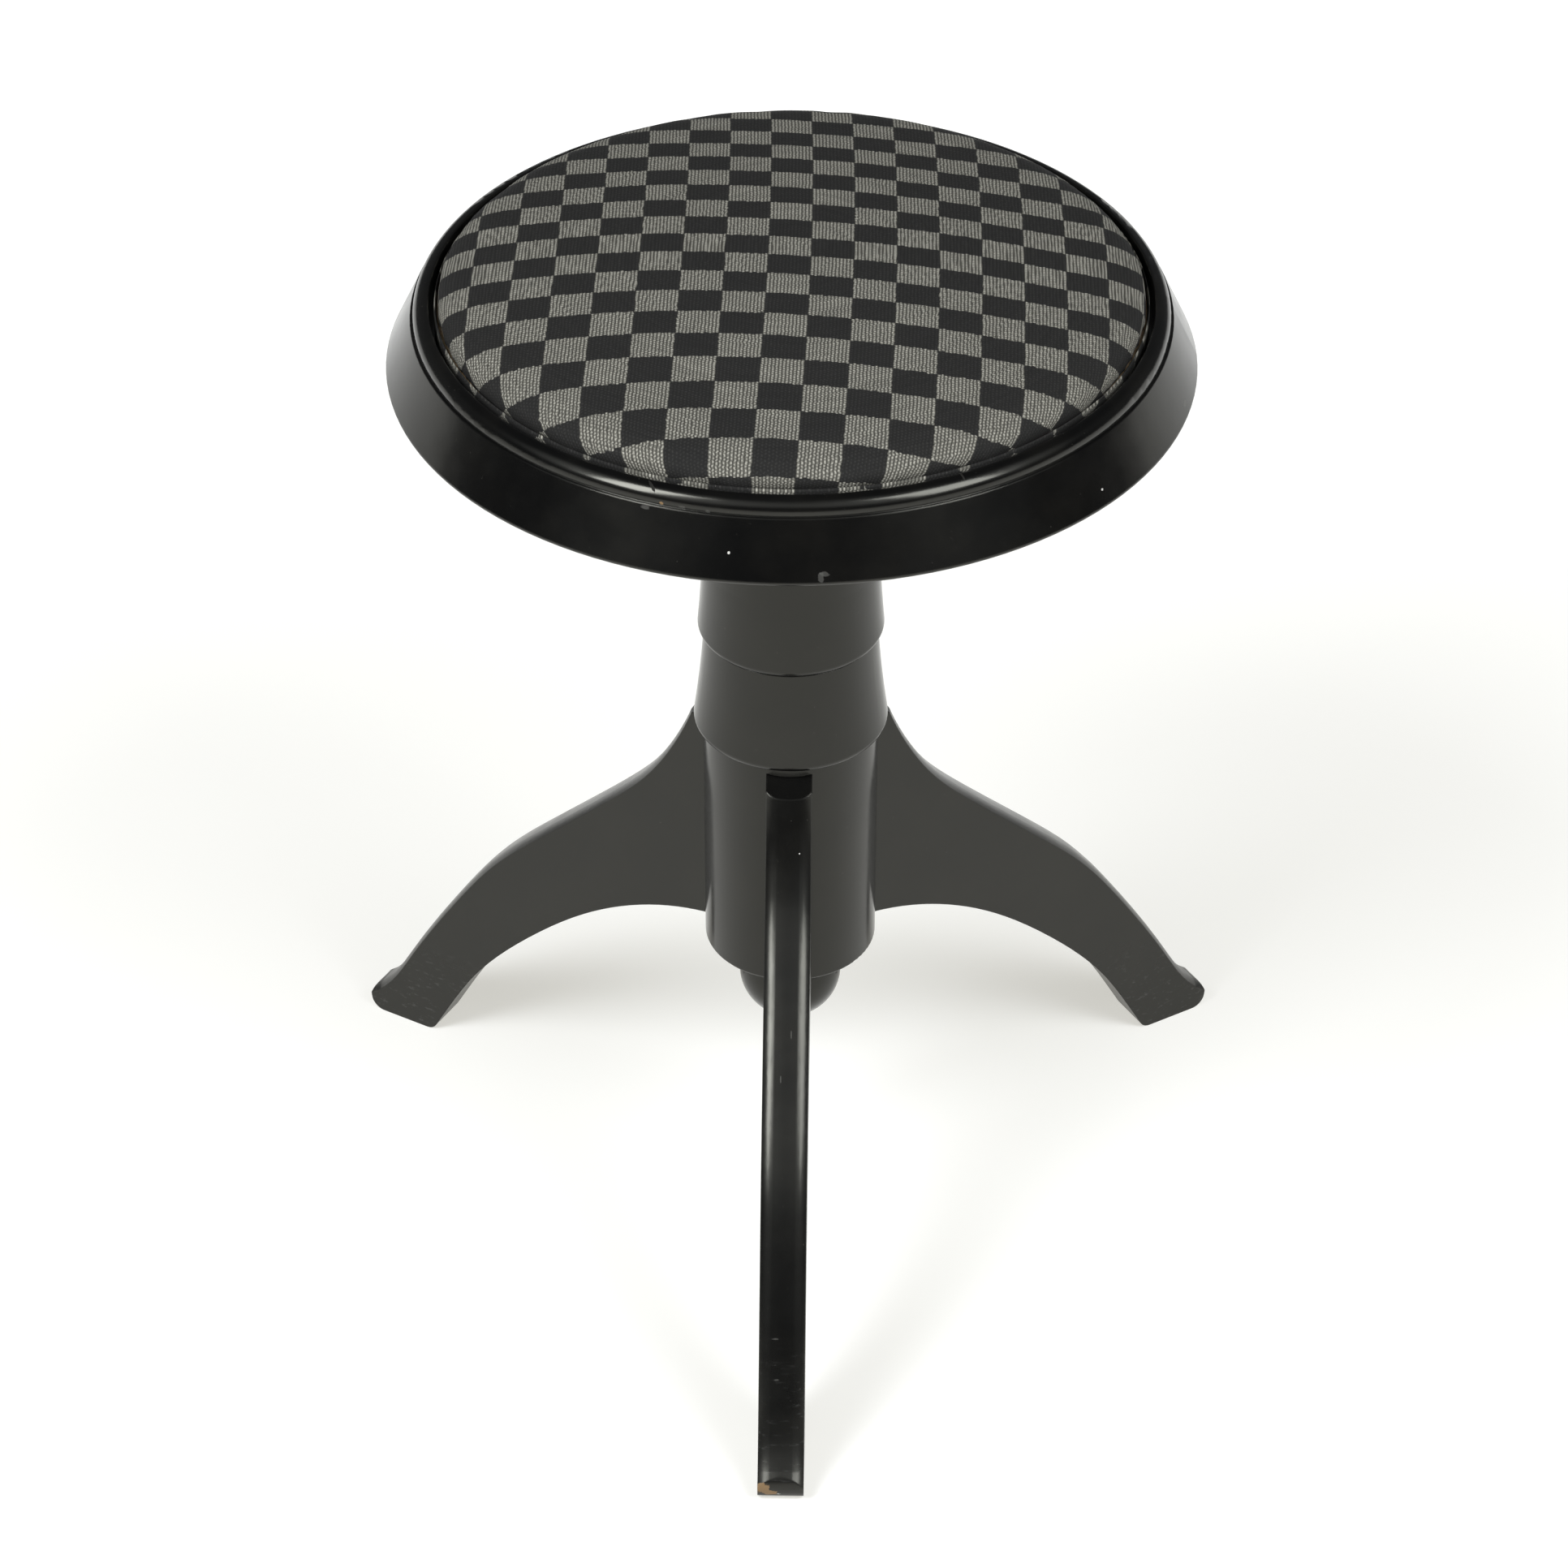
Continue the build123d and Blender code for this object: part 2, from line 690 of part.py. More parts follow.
with BuildPart() as cover_tacks:
    with BuildSketch(Plane.XY.offset(tack_z)):
        with PolarLocations(tack_ring_radius, tack_count):
            Circle(tack_head_radius)
    extrude(amount=tack_head_thickness)
    with BuildSketch(Plane.XY.offset(hem_z)):
        with PolarLocations(tack_ring_radius, tack_count):
            Circle(tack_radius)
    extrude(amount=tack_length)
cover_tacks.part.label = "cover_tacks"
export_step(cover_tacks.part, "parts/cover_tacks.step")

pad_screw = wood_screw(pad_screw_length)
with BuildPart() as pad_screws:
    with Locations((0, 0, board_z)):
        with PolarLocations(pad_screw_ring_radius, pad_screw_count):
            add(pad_screw, rotation=(180, 0, 0))
pad_screws.part.label = "pad_screws"
export_step(pad_screws.part, "parts/pad_screws.step")
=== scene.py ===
import math

import bpy
import numpy as np
from mathutils import Matrix, Vector


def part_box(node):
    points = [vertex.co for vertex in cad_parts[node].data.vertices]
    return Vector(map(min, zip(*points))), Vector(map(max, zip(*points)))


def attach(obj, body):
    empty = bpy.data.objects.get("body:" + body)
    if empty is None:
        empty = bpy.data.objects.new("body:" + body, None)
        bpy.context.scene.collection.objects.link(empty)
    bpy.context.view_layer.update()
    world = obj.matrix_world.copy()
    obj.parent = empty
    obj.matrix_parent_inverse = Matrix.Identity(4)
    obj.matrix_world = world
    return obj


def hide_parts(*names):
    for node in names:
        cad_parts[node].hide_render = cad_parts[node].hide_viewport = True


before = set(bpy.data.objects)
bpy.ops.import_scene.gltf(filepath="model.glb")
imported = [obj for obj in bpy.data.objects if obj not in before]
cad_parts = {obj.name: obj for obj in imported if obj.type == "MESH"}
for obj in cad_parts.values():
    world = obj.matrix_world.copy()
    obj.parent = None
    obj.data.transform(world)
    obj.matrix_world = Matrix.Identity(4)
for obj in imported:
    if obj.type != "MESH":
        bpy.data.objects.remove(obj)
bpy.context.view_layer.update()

mm = 0.001


# Helpers for node materials
def newLook(name):
    look = bpy.data.materials.new(name)
    look.use_nodes = True
    return look


def shaderOf(look):
    return look.node_tree.nodes["Principled BSDF"]


def addNode(look, kind, inputs=None, **settings):
    node = look.node_tree.nodes.new(kind)
    for key, value in settings.items():
        setattr(node, key, value)
    for key, value in (inputs or {}).items():
        if isinstance(value, bpy.types.NodeSocket):
            look.node_tree.links.new(value, node.inputs[key])
        else:
            node.inputs[key].default_value = value
    return node


def plug(look, **values):
    # joins finished colour, roughness and normal to the shader
    sockets = {"colour": "Base Color", "roughness": "Roughness", "normal": "Normal"}
    for name, value in values.items():
        look.node_tree.links.new(value, shaderOf(look).inputs[sockets[name]])


def calc(look, operation, *values, clamp=False):
    node = addNode(look, "ShaderNodeMath", dict(enumerate(values)), operation=operation, use_clamp=clamp)
    return node.outputs[0]


def blendColour(look, share, first, second, blend="MIX"):
    node = addNode(look, "ShaderNodeMix", data_type="RGBA", blend_type=blend)
    for socket, value in ((node.inputs[0], share), (node.inputs[6], first), (node.inputs[7], second)):
        if isinstance(value, bpy.types.NodeSocket):
            look.node_tree.links.new(value, socket)
        else:
            socket.default_value = value
    return node.outputs[2]


def mapRange(look, value, low, high, toLow=0.0, toHigh=1.0, smooth=True):
    kind = "SMOOTHSTEP" if smooth else "LINEAR"
    sockets = {"Value": value, "From Min": low, "From Max": high, "To Min": toLow, "To Max": toHigh}
    return addNode(look, "ShaderNodeMapRange", sockets, interpolation_type=kind).outputs[0]


def noise(look, place, scale, detail=2.0, roughness=0.5, output="Fac"):
    sockets = {"Vector": place, "Scale": scale, "Detail": detail, "Roughness": roughness}
    return addNode(look, "ShaderNodeTexNoise", sockets).outputs[output]


def stretched(look, place, scale):
    return addNode(look, "ShaderNodeMapping", {"Vector": place, "Scale": scale}).outputs[0]


def axes(look, vector):
    return addNode(look, "ShaderNodeSeparateXYZ", {0: vector}).outputs


def objectPlace(look):
    return addNode(look, "ShaderNodeTexCoord").outputs["Object"]


def raised(look, height, depth, strength=1.0, under=None):
    sockets = {"Strength": strength, "Distance": depth, "Height": height}
    if under is not None:
        sockets["Normal"] = under
    return addNode(look, "ShaderNodeBump", sockets).outputs["Normal"]


# Studio: camera at the photograph's angle, floor, soft boxes and the air around
photo = {
    "pixels": 1932,
    "focalPixels": 5749.2,
    "place": (0.0, -1.7194, 1.5289),
    # radians
    "tiltDown": 0.64872,
    "turn": 0.00177,
    "roll": 0.00155,
    "sensor": 36.0,
    "nearest": 0.05,
    "farthest": 50.0,
}


def addCamera():
    camData = bpy.data.cameras.new("photoCamera")
    camData.sensor_width = photo["sensor"]
    camData.lens = photo["focalPixels"] / photo["pixels"] * photo["sensor"]
    camData.clip_start = photo["nearest"]
    camData.clip_end = photo["farthest"]
    cam = bpy.data.objects.new("photoCamera", camData)
    bpy.context.scene.collection.objects.link(cam)
    aim = Matrix.Rotation(photo["turn"], 4, "Z") @ Matrix.Rotation(math.pi / 2 - photo["tiltDown"], 4, "X")
    cam.matrix_world = Matrix.Translation(photo["place"]) @ aim @ Matrix.Rotation(photo["roll"], 4, "Z")
    bpy.context.scene.camera = cam


studio = {
    "floorSize": 24.0,
    "floorColour": (0.5, 0.5, 0.5, 1.0),
    "floorRoughness": 0.9,
    "floorShine": 0.1,
    # the floor's own light close to the stool and further off, and the radii of the change
    "floorGlow": (0.565, 0.555, 0.51, 1.0),
    "farGlow": (0.84, 0.84, 0.82, 1.0),
    "glowRadii": (0.3, 1.4),
    "boxDistance": 2.6,
    "boxElevation": 46.0,
    "leftBox": {"turn": 219.7, "width": 0.7, "height": 1.5, "watts": 57.0},
    "rightBox": {"turn": -39.7, "width": 0.95, "height": 1.5, "watts": 44.0},
    "lightColour": (0.95, 0.975, 1.0),
    "aim": (0.0, 0.0, 0.25),
    "airColour": (0.93, 0.96, 1.0, 1.0),
    "darkGlow": 0.015,
    # each bright part of the air, with the y, the z or the dot product over which it fades in
    "sweepGlow": 0.08,
    "sweepBack": (-0.1, 0.35),
    "sweepDown": (0.75, 0.4),
    "frontGlow": 0.4,
    "frontAhead": (0.2, -0.4),
    "frontUp": (0.34, 0.64),
    "frontDown": (0.95, 0.7),
    "spill": 0.5,
    "spillEdge": (0.75, 0.97),
}


def wayTo(turn, elevation):
    high = math.radians(elevation)
    flat = math.radians(turn)
    return Vector((math.cos(flat) * math.cos(high), math.sin(flat) * math.cos(high), math.sin(high)))


def addSoftBox(name, turn, width, height, watts):
    lamp = bpy.data.lights.new(name, "AREA")
    lamp.shape = "RECTANGLE"
    lamp.size = width
    lamp.size_y = height
    lamp.energy = watts
    lamp.color = studio["lightColour"]
    box = bpy.data.objects.new(name, lamp)
    bpy.context.scene.collection.objects.link(box)
    way = wayTo(turn, studio["boxElevation"])
    box.location = Vector(studio["aim"]) + way * studio["boxDistance"]
    box.rotation_euler = way.to_track_quat("Z", "Y").to_euler()


def addFloor():
    bpy.ops.object.select_all(action="DESELECT")
    bpy.ops.mesh.primitive_plane_add(size=studio["floorSize"], location=(0, 0, 0))
    floor = bpy.context.object
    floor.name = "floor"
    paper = newLook("floorPaper")
    shader = shaderOf(paper)
    shader.inputs["Base Color"].default_value = studio["floorColour"]
    shader.inputs["Roughness"].default_value = studio["floorRoughness"]
    shader.inputs["Specular IOR Level"].default_value = studio["floorShine"]
    shader.inputs["Emission Strength"].default_value = 1.0
    away = addNode(paper, "ShaderNodeVectorMath", {0: objectPlace(paper)}, operation="LENGTH")
    far = mapRange(paper, away.outputs["Value"], *studio["glowRadii"])
    glow = blendColour(paper, far, studio["floorGlow"], studio["farGlow"])
    paper.node_tree.links.new(glow, shader.inputs["Emission Color"])
    floor.data.materials.append(paper)


def addAir():
    # bright low down behind the stool, dim half way up in front and round the boxes, dark overhead
    world = bpy.data.worlds.new("studioAir")
    world.use_nodes = True
    around = addNode(world, "ShaderNodeTexCoord").outputs["Generated"]
    way = axes(world, around)
    behind = mapRange(world, way["Y"], *studio["sweepBack"])
    sweep = calc(world, "MULTIPLY", behind, mapRange(world, way["Z"], *studio["sweepDown"]))
    ahead = mapRange(world, way["Y"], *studio["frontAhead"])
    above = mapRange(world, way["Z"], *studio["frontUp"])
    band = calc(world, "MULTIPLY", above, mapRange(world, way["Z"], *studio["frontDown"]))
    wall = calc(world, "MULTIPLY", ahead, band)
    glow = calc(world, "MULTIPLY_ADD", sweep, studio["sweepGlow"], studio["darkGlow"])
    glow = calc(world, "MULTIPLY_ADD", wall, studio["frontGlow"], glow)
    for box in ("leftBox", "rightBox"):
        aim = wayTo(studio[box]["turn"], studio["boxElevation"])
        near = addNode(world, "ShaderNodeVectorMath", {0: around, 1: aim}, operation="DOT_PRODUCT")
        spill = mapRange(world, near.outputs["Value"], *studio["spillEdge"])
        glow = calc(world, "MULTIPLY_ADD", spill, studio["spill"], glow)
    air = world.node_tree.nodes["Background"]
    air.inputs["Color"].default_value = studio["airColour"]
    world.node_tree.links.new(glow, air.inputs["Strength"])
    bpy.context.scene.world = world


addCamera()
addFloor()
addSoftBox("leftBox", **studio["leftBox"])
addSoftBox("rightBox", **studio["rightBox"])
addAir()
bpy.context.scene.view_settings.view_transform = "Standard"
print("studio ready")


# Helpers for modelling
def onlySelect(*pieces):
    bpy.ops.object.select_all(action="DESELECT")
    for piece in pieces:
        piece.select_set(True)
    bpy.context.view_layer.objects.active = pieces[0]


def spinProfile(name, points, steps):
    # points is a chain of (radius, height) in millimetres, from axis to axis or round to its start
    bpy.ops.object.select_all(action="DESELECT")
    bpy.ops.mesh.primitive_plane_add(size=1, location=(0, 0, 0))
    piece = bpy.context.object
    piece.name = name
    bpy.ops.object.mode_set(mode="EDIT")
    bpy.ops.mesh.select_all(action="SELECT")
    bpy.ops.mesh.merge(type="CENTER")
    here = Vector((points[0][0], 0, points[0][1])) * mm
    bpy.ops.transform.translate(value=here)
    for radius, height in points[1:]:
        there = Vector((radius, 0, height)) * mm
        bpy.ops.mesh.extrude_vertices_move(TRANSFORM_OT_translate={"value": there - here})
        here = there
    bpy.ops.mesh.select_all(action="SELECT")
    bpy.ops.mesh.spin(steps=steps, angle=2 * math.pi, center=(0, 0, 0), axis=(0, 0, 1))
    bpy.ops.mesh.select_all(action="SELECT")
    bpy.ops.mesh.remove_doubles(threshold=0.01 * mm)
    bpy.ops.mesh.normals_make_consistent(inside=False)
    bpy.ops.object.mode_set(mode="OBJECT")
    return piece


# Seat cushion: a crowned pad that bulges out over its board, and the cover's skirt and hem
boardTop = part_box("pad_board")[1].z / mm
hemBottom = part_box("seat_cover")[0].z / mm
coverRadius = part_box("seat_cover")[1].x / mm
cushion = {
    # radius and height of the drawn cloth, from the crown's centre out over the fold and down
    "profile": [
        (0, 511.5), (20, 511.35), (41, 510.8), (57, 510.0), (74, 508.7), (90, 507.1), (107, 504.9),
        (120, 503.1), (129, 501.9), (137, 500.6), (143.5, 499.1), (149.0, 497.0), (152.4, 494.9),
        (154.0, 492.3), (154.3, 489.8), (153.9, 487.6),
    ],
    "steps": 160,
    # how far the pad lies off its board, and how much further up its points can't sink
    "rest": 0.2,
    "sinkBand": 1.0,
    # the puffing up as cloth, with the furthest that a point goes
    "voxel": 3.5,
    "pressure": 4.0,
    "frames": 20,
    "swell": 1.2,
    # the cover's thickness, its hem, how far it runs up into the pad, and its support loops
    "skirt": 1.05,
    "hem": 17.0,
    "tuck": 4.6,
    "crease": 0.9,
}
weave = {
    "half": 150.0,
    # columns of squares
    "square": 18.27,
    "turn": -1.26,
    "shift": -0.452,
    "bow": 3.05,
    "spread": 1.165,
    # rows of squares
    "row": 15.06,
    "slant": 0.1075,
    "rowShift": -0.39,
    "sag": 5.0,
    "skew": 4.6,
    "edgeRow": 6.0,
    "edgeSlant": 3.5,
    "edgeLimit": 1.2,
    # threads in a square
    "ribs": 12,
    "dots": 11,
}


def inflate(piece):
    # puffs the pad up as cloth, and lets no point go further than the swell
    onlySelect(piece)
    remesh = piece.modifiers.new("remesh", "REMESH")
    remesh.mode = "VOXEL"
    remesh.voxel_size = cushion["voxel"] * mm
    bpy.ops.object.modifier_apply(modifier=remesh.name)
    before = np.array([v.co[:] for v in piece.data.vertices])
    cloth = piece.modifiers.new("cloth", "CLOTH")
    cloth.settings.use_pressure = True
    cloth.settings.uniform_pressure_force = cushion["pressure"]
    cloth.settings.effector_weights.gravity = 0
    for number in range(1, cushion["frames"] + 1):
        bpy.context.scene.frame_set(number)
    bpy.ops.object.modifier_apply(modifier=cloth.name)
    bpy.context.scene.frame_set(1)
    after = np.array([v.co[:] for v in piece.data.vertices])
    move = after - before
    reach = np.linalg.norm(move, axis=1, keepdims=True)
    move *= np.minimum(1, cushion["swell"] * mm / np.maximum(reach, 1e-9))
    resting = before[:, 2] < (boardTop + cushion["rest"] + cushion["sinkBand"]) * mm
    move[resting, 2] = np.maximum(0, move[resting, 2])
    for vertex, place in zip(piece.data.vertices, before + move):
        vertex.co = place
    print("the pad would swell by", round(float(reach.max() / mm), 2), "mm without its limit")


def layWeave(piece):
    # stores where each point lies on the flat cloth: squares across, squares along, way past the fold
    line = np.array(cushion["profile"], float)
    starts, ways = line[:-1], np.diff(line, axis=0)
    lengths = np.hypot(*ways.T)
    before = np.concatenate([[0], np.cumsum(lengths)])
    places = np.array([v.co[:] for v in piece.data.vertices]) / mm
    flat = np.stack([np.hypot(places[:, 0], places[:, 1]), places[:, 2]], axis=1)
    nearest = np.full(len(flat), np.inf)
    length = np.zeros(len(flat))
    for number, (start, way) in enumerate(zip(starts, ways)):
        share = np.clip(((flat - start) @ way) / (way @ way), 0, 1)
        gap = np.linalg.norm(flat - start - share[:, None] * way, axis=1)
        closer = gap < nearest
        nearest[closer] = gap[closer]
        length[closer] = (before[number] + share * lengths[number])[closer]
    # points below the profile's end go on down the side and in under the board
    past = flat[:, 1] < line[-1][1]
    turned = line[-1] - flat[past]
    length[past] += turned[:, 1] + np.maximum(0, turned[:, 0])
    stretch = length / np.maximum(flat[:, 0], 1e-6) / weave["half"]
    u, v = places[:, 0] * stretch, places[:, 1] * stretch
    turn, half = math.radians(weave["turn"]), weave["half"]
    edge = np.minimum(u**2 + v**2, weave["edgeLimit"]) ** 2
    across = (u * math.cos(turn) + v * math.sin(turn)) * half
    across += weave["bow"] * v**2 + weave["spread"] * u**3
    along = (v + weave["slant"] * u) * half
    along += weave["sag"] * (u**2 + v**2) + weave["skew"] * u * v
    along -= edge * (weave["edgeRow"] * v + weave["edgeSlant"] * u)
    fold = before[-3]
    cloth = np.stack(
        [
            across / weave["square"] + weave["shift"],
            weave["rowShift"] - along / weave["row"],
            length - fold,
        ],
        axis=1,
    )
    attribute = piece.data.attributes.new("weave", "FLOAT_VECTOR", "POINT")
    attribute.data.foreach_set("vector", cloth.astype(np.float32).ravel())


checkCloth = {
    "black": (0.008, 0.0076, 0.0068, 1),
    "blackThread": (0.023, 0.022, 0.0205, 1),
    "ground": (0.046, 0.0435, 0.036, 1),
    "rib": (0.12, 0.1155, 0.097, 1),
    "dot": (0.37, 0.355, 0.305, 1),
    "fray": (0.38, 0.36, 0.32, 1),
    "roughness": 0.85,
    "shine": 0.3,
    "relief": 0.25,
    # how far threads wander and squares' ends differ, as a share of a square
    "stray": 0.07,
    "strayScale": 1.1,
    "ragged": 0.04,
    # light knots that show more or less, and broad clouds of shade
    "knotScale": 9.0,
    "faintKnot": 0.35,
    "cloudScale": 0.8,
    "cloudRange": (0.86, 1.12),
    # millimetres past the fold over which painted shade darkens the cloth, and over which threads come loose
    "paintedShadeSpan": (2.0, 6.0),
    "paintedShadeDarkest": 0.3,
    "loosening": (0.5, 3.0),
    "looseScale": 20.0,
}


def makeCheckCloth():
    look = newLook("checkCloth")
    place = addNode(look, "ShaderNodeAttribute", attribute_name="weave").outputs["Vector"]
    flat = axes(look, place)
    drift = axes(look, noise(look, place, checkCloth["strayScale"], output="Color"))
    stray = checkCloth["stray"]
    across = calc(look, "ADD", flat["X"], calc(look, "MULTIPLY_ADD", drift["X"], stray, -stray / 2))
    along = calc(look, "ADD", flat["Y"], calc(look, "MULTIPLY_ADD", drift["Y"], stray, -stray / 2))
    ribs, dots = float(weave["ribs"]), float(weave["dots"])
    column = calc(look, "MULTIPLY", across, ribs)
    rib = calc(look, "FLOOR", column)
    # a square's end is a little sooner or later from rib to rib
    ribNoise = addNode(look, "ShaderNodeTexWhiteNoise", {"W": rib}, noise_dimensions="1D").outputs["Value"]
    late = calc(look, "MULTIPLY_ADD", ribNoise, checkCloth["ragged"], -checkCloth["ragged"] / 2)
    squareX = calc(look, "FLOOR", calc(look, "DIVIDE", calc(look, "ADD", rib, 0.5), ribs))
    squareY = calc(look, "FLOOR", calc(look, "ADD", along, late))
    # the sums are lifted clear of zero, where the remainder would change sign
    squares = calc(look, "ADD", squareX, squareY)
    isGrey = calc(look, "MODULO", calc(look, "ADD", squares, 401.0), 2.0)
    stagger = calc(look, "MULTIPLY", calc(look, "MODULO", calc(look, "ADD", rib, 4000.0), 2.0), 0.5)
    inDot = calc(look, "FRACT", calc(look, "MULTIPLY_ADD", along, dots, stagger))
    ribTop = calc(look, "SINE", calc(look, "MULTIPLY", calc(look, "FRACT", column), math.pi))
    dotTop = calc(look, "SINE", calc(look, "MULTIPLY", inDot, math.pi))
    knot = calc(look, "MULTIPLY", mapRange(look, ribTop, 0.5, 0.98), mapRange(look, dotTop, 0.45, 0.95))
    worn = noise(look, place, checkCloth["knotScale"], 3.0)
    shown = calc(look, "MULTIPLY", knot, mapRange(look, worn, 0.3, 0.7, checkCloth["faintKnot"], 1.0))
    grey = blendColour(look, mapRange(look, ribTop, 0.3, 0.95), checkCloth["ground"], checkCloth["rib"])
    grey = blendColour(look, shown, grey, checkCloth["dot"])
    dark = blendColour(look, shown, checkCloth["black"], checkCloth["blackThread"])
    colour = blendColour(look, isGrey, dark, grey)
    cloud = noise(look, place, checkCloth["cloudScale"], 3.0)
    cloud = mapRange(look, cloud, 0.3, 0.7, *checkCloth["cloudRange"])
    shade = addNode(look, "ShaderNodeCombineXYZ", {0: cloud, 1: cloud, 2: cloud}).outputs[0]
    colour = blendColour(look, 1.0, colour, shade, "MULTIPLY")
    # painted shade where the cover is drawn down into the gap beside the rim, blending it towards the black
    # squares' colour, with loose light threads there
    gap = mapRange(look, flat["Z"], *checkCloth["paintedShadeSpan"], 1.0, checkCloth["paintedShadeDarkest"])
    colour = blendColour(look, gap, checkCloth["black"], colour)
    low = mapRange(look, flat["Z"], *checkCloth["loosening"])
    wisp = mapRange(look, noise(look, place, checkCloth["looseScale"], 4.0, 0.7), 0.68, 0.72)
    colour = blendColour(look, calc(look, "MULTIPLY", low, wisp), colour, checkCloth["fray"])
    height = calc(look, "MULTIPLY_ADD", ribTop, 0.6, calc(look, "MULTIPLY", knot, 0.5))
    plug(look, colour=colour, normal=raised(look, height, checkCloth["relief"] * mm, 0.6))
    shaderOf(look).inputs["Roughness"].default_value = checkCloth["roughness"]
    shaderOf(look).inputs["Specular IOR Level"].default_value = checkCloth["shine"]
    return look


def addCushion():
    # the pad, a little smaller than the drawn cloth because it swells
    swell, floor = cushion["swell"], boardTop + cushion["rest"]
    dome = [(max(0, radius - swell), height - swell) for radius, height in cushion["profile"]]
    under = [(dome[-1][0] - 1, floor), (0, floor)]
    body = spinProfile("cushion", dome + under, cushion["steps"])
    inflate(body)
    # the cover goes down round the board's edge and in beneath it, too thin for the voxels
    near = cushion["crease"]
    top = floor + cushion["tuck"]
    wall = coverRadius - cushion["skirt"]
    lip = coverRadius - cushion["hem"]
    hemTop = hemBottom + cushion["skirt"]
    ring = [
        (coverRadius, top), (coverRadius, hemTop + near), (coverRadius, hemTop - near / 2),
        (wall, hemBottom), (wall - near, hemBottom), (lip + near, hemBottom), (lip, hemBottom),
        (lip, hemTop), (lip + near, hemTop), (wall - near, hemTop), (wall, hemTop),
        (wall, hemTop + near), (wall, top), (coverRadius, top),
    ]
    onlySelect(body, spinProfile("coverSkirt", ring, cushion["steps"]))
    bpy.ops.object.join()
    layWeave(body)
    smooth = body.modifiers.new("smooth", "SUBSURF")
    smooth.levels = smooth.render_levels = 1
    onlySelect(body)
    bpy.ops.object.shade_smooth()
    body.data.materials.append(makeCheckCloth())
    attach(body, "seat")
    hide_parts("seat_cover", "pad_filling")


addCushion()
print("cushion ready")


# Black lacquer, and the places where it is worn on the rim and the front leg
lacquer = {
    "colour": (0.003, 0.003, 0.003, 1),
    "dusty": (0.0055, 0.0052, 0.0046, 1),
    "filmScale": 28.0,
    # roughness of the shiniest and the dullest patches
    "gloss": 0.15,
    "dull": 0.2,
    "patchScale": 60.0,
    "ior": 1.44,
    "tint": (1.0, 0.98, 0.87, 1.0),
    # millimetres
    "arris": 1.0,
    "waves": 0.05,
    "waveScale": 45.0,
    # the legs' feet: more roughness all over and lowest down, and pale strokes
    "haze": 0.06,
    "lowHaze": 0.08,
    "strokes": 0.1,
    "strokeColour": (0.3, 0.3, 0.29, 1),
    "strokeScale": (70, 420, 520),
    "dust": 0.35,
    "dustColour": (0.12, 0.115, 0.1, 1),
    "dustScale": 900.0,
}
wearKinds = {
    "wood": {"colour": (0.2, 0.125, 0.06, 1), "roughness": 0.65, "share": 1.0},
    "scuff": {"colour": (0.1, 0.098, 0.09, 1), "roughness": 0.5, "share": 0.35},
    "crack": {"colour": (0.002, 0.002, 0.002, 1), "roughness": 0.8, "share": 1.0},
    "spot": {"colour": (0.6, 0.59, 0.55, 1), "roughness": 0.7, "share": 0.8},
    # darker lacquer with more roughness
    "darkDull": {"colour": (0.002, 0.0018, 0.0015, 1), "roughness": 0.45, "share": 1.0},
}
# kind, middle, half sizes and turn about the vertical, in millimetres and degrees
rimWear = [
    ("crack", (-56.2, -148.9, 488.7), (3.4, 0.6, 2.2), -66),
    ("crack", (68.8, -141.3, 489.4), (3.2, 0.45, 2.4), -64),
    ("scuff", (-58.9, -153.3, 481.3), (2.0, 1.0, 0.8), -21),
    ("wood", (-52.3, -153.8, 483.6), (1.0, 1.0, 0.7), 0),
    ("scuff", (-44.1, -156.4, 483.4), (1.6, 0.9, 0.6), -16),
    ("scuff", (-33.6, -159.0, 483.2), (1.2, 0.8, 0.6), 0),
    ("spot", (-25.1, -168.1, 469.3), (0.6, 0.6, 0.6), 0),
    ("scuff", (12.0, -173.5, 461.0), (1.3, 1.6, 2.6), 20),
    ("scuff", (13.4, -172.8, 462.3), (2.4, 1.2, 1.0), -20),
    ("spot", (128.0, -115.0, 465.1), (0.6, 0.6, 0.5), 0),
    ("scuff", (166.7, -46.0, 463.3), (1.2, 2.9, 1.0), 0),
]
frontLegWear = [
    # a darker, duller patch along the front foot's nose
    ("darkDull", (0.0, -240.0, 3.5), (20.0, 5.0, 5.5), 0),
    ("wood", (-11.6, -238.8, 8.4), (3.4, 2.6, 3.2), 0),
    ("wood", (-8.4, -239.2, 5.6), (3.6, 2.0, 2.0), 0),
    ("spot", (-4.6, -239.2, 5.0), (1.3, 0.9, 0.7), 0),
    ("scuff", (-6.3, -201.9, 65.8), (3.2, 0.5, 0.35), 12),
    ("scuff", (-5.1, -211.4, 49.8), (2.6, 0.5, 0.4), 20),
    ("spot", (4.1, -60.3, 231.5), (0.35, 0.35, 0.35), 0),
    ("scuff", (0.6, -114.0, 170.1), (0.35, 2.0, 2.4), 0),
    ("scuff", (-4.1, -128.7, 156.2), (0.35, 1.8, 2.0), 0),
]


def wornShare(look, place, middle, half, turn):
    # 1 inside a rounded place on the surface, 0 outside it, with a ragged edge
    sockets = {
        "Vector": place,
        "Location": Vector(middle) * mm,
        "Rotation": (0, 0, math.radians(turn)),
        "Scale": Vector(half) * mm,
    }
    spot = addNode(look, "ShaderNodeMapping", sockets, vector_type="TEXTURE").outputs[0]
    distance = addNode(look, "ShaderNodeVectorMath", {0: spot}, operation="LENGTH").outputs["Value"]
    edge = calc(look, "MULTIPLY_ADD", noise(look, spot, 1.6, 3.0, 0.65), 1.4, -0.7)
    return mapRange(look, calc(look, "ADD", distance, edge), 1.0, 0.8)


